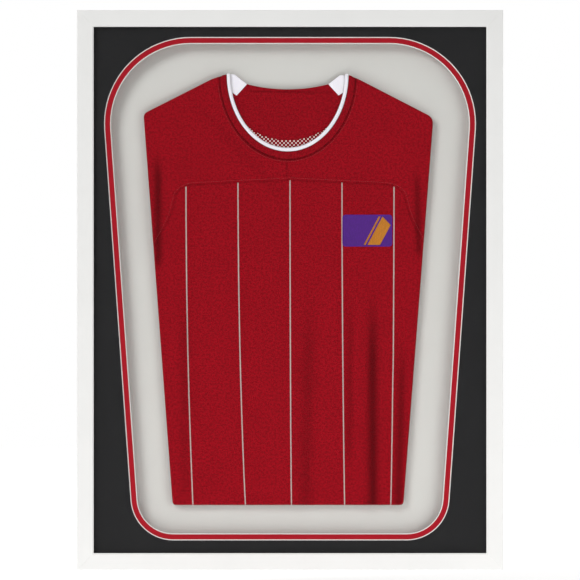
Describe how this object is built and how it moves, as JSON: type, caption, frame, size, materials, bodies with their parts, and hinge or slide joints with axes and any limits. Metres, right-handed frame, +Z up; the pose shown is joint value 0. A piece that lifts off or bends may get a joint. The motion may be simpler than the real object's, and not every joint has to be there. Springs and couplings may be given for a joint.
{
  "type": "jersey display frame",
  "caption": "Deep wall frame with glazing and a double mat showing a sports jersey folded round a former, closed behind by turn buttons and hung from rings.",
  "frame": {"origin": "middle of the frame's width and height, on the wall plane that the rear bumpers touch", "axes": "+X to the viewer's right, +Y towards the wall, +Z up; the glazed front faces -Y"},
  "size_m": [0.638, 0.038, 0.838],
  "materials": {
    "white_moulding": "satin white paint on wood",
    "clear_glazing": "clear polished",
    "black_mat": "matt black paper face on white-core card",
    "red_mat": "matt red paper face on white-core card",
    "spacer_board": "white card-faced board",
    "backing_card": "matt off-white card",
    "hardboard": "brown hardboard, textured face outwards",
    "former_card": "stiff white card",
    "jersey_knit": "red polyester knit with pinstripes",
    "jersey_mesh": "red polyester mesh knit",
    "white_trim": "white woven trim",
    "crest_patch": "embroidered patch",
    "adhesive_pad": "white foam pad",
    "button_steel": "brass-plated stamped steel",
    "hanger_steel": "nickel-plated steel",
    "fastener_steel": "zinc-plated steel",
    "rubber": "matt black rubber"
  },
  "bodies": {
    "frame": {"back_neck_facing": "jersey_knit", "back_panel": "hardboard", "backing_board": "backing_card", "chest_crest": "crest_patch", "corner_v_nails": "fastener_steel", "fixing_pads": "adhesive_pad", "glazing_sheet": "clear_glazing", "hanger_screws": "fastener_steel", "hanger_strap_left": "hanger_steel", "hanger_strap_right": "hanger_steel", "inner_mat": "red_mat", "jersey_back": "jersey_mesh", "jersey_front_panel": "jersey_knit", "jersey_yoke": "jersey_knit", "neck_piping": "white_trim", "neck_tape": "white_trim", "neckband": "jersey_knit", "outer_mat": "black_mat", "rail_bottom": "white_moulding", "rail_left": "white_moulding", "rail_right": "white_moulding", "rail_top": "white_moulding", "shirt_former": "former_card", "sleeve_left": "jersey_knit", "sleeve_right": "jersey_knit", "spacer_bottom": "spacer_board", "spacer_left": "spacer_board", "spacer_right": "spacer_board", "spacer_top": "spacer_board", "turn_button_screws": "fastener_steel", "wall_bumper_left": "rubber", "wall_bumper_right": "rubber"},
    "turn_button_bottom_left": {"turn_button_bottom_left": "button_steel"},
    "turn_button_bottom_right": {"turn_button_bottom_right": "button_steel"},
    "turn_button_left_lower": {"turn_button_left_lower": "button_steel"},
    "turn_button_left_upper": {"turn_button_left_upper": "button_steel"},
    "turn_button_right_lower": {"turn_button_right_lower": "button_steel"},
    "turn_button_right_upper": {"turn_button_right_upper": "button_steel"},
    "turn_button_top_left": {"turn_button_top_left": "button_steel"},
    "turn_button_top_right": {"turn_button_top_right": "button_steel"},
    "hanger_ring_left": {"hanger_ring_left": "hanger_steel"},
    "hanger_ring_right": {"hanger_ring_right": "hanger_steel"}
  },
  "joints": [
    {"name": "turn_button_bottom_left_turn", "type": "hinge", "parent": "frame", "child": "turn_button_bottom_left", "pos_m": [-0.16, -0.00445, -0.41], "axis": [0, 1, 0], "continuous": true},
    {"name": "turn_button_bottom_right_turn", "type": "hinge", "parent": "frame", "child": "turn_button_bottom_right", "pos_m": [0.16, -0.00445, -0.41], "axis": [0, 1, 0], "continuous": true},
    {"name": "turn_button_left_lower_turn", "type": "hinge", "parent": "frame", "child": "turn_button_left_lower", "pos_m": [-0.31, -0.00445, -0.15], "axis": [0, 1, 0], "continuous": true},
    {"name": "turn_button_left_upper_turn", "type": "hinge", "parent": "frame", "child": "turn_button_left_upper", "pos_m": [-0.31, -0.00445, 0.15], "axis": [0, 1, 0], "continuous": true},
    {"name": "turn_button_right_lower_turn", "type": "hinge", "parent": "frame", "child": "turn_button_right_lower", "pos_m": [0.31, -0.00445, -0.15], "axis": [0, 1, 0], "continuous": true},
    {"name": "turn_button_right_upper_turn", "type": "hinge", "parent": "frame", "child": "turn_button_right_upper", "pos_m": [0.31, -0.00445, 0.15], "axis": [0, 1, 0], "continuous": true},
    {"name": "turn_button_top_left_turn", "type": "hinge", "parent": "frame", "child": "turn_button_top_left", "pos_m": [-0.16, -0.00445, 0.41], "axis": [0, 1, 0], "continuous": true},
    {"name": "turn_button_top_right_turn", "type": "hinge", "parent": "frame", "child": "turn_button_top_right", "pos_m": [0.16, -0.00445, 0.41], "axis": [0, 1, 0], "continuous": true},
    {"name": "hanger_ring_left_swing", "type": "hinge", "parent": "frame", "child": "hanger_ring_left", "pos_m": [-0.307, -0.0027, 0.24], "axis": [1, 0, 0], "range_deg": [0, 180]},
    {"name": "hanger_ring_right_swing", "type": "hinge", "parent": "frame", "child": "hanger_ring_right", "pos_m": [0.307, -0.0027, 0.24], "axis": [1, 0, 0], "range_deg": [0, 180]}
  ]
}
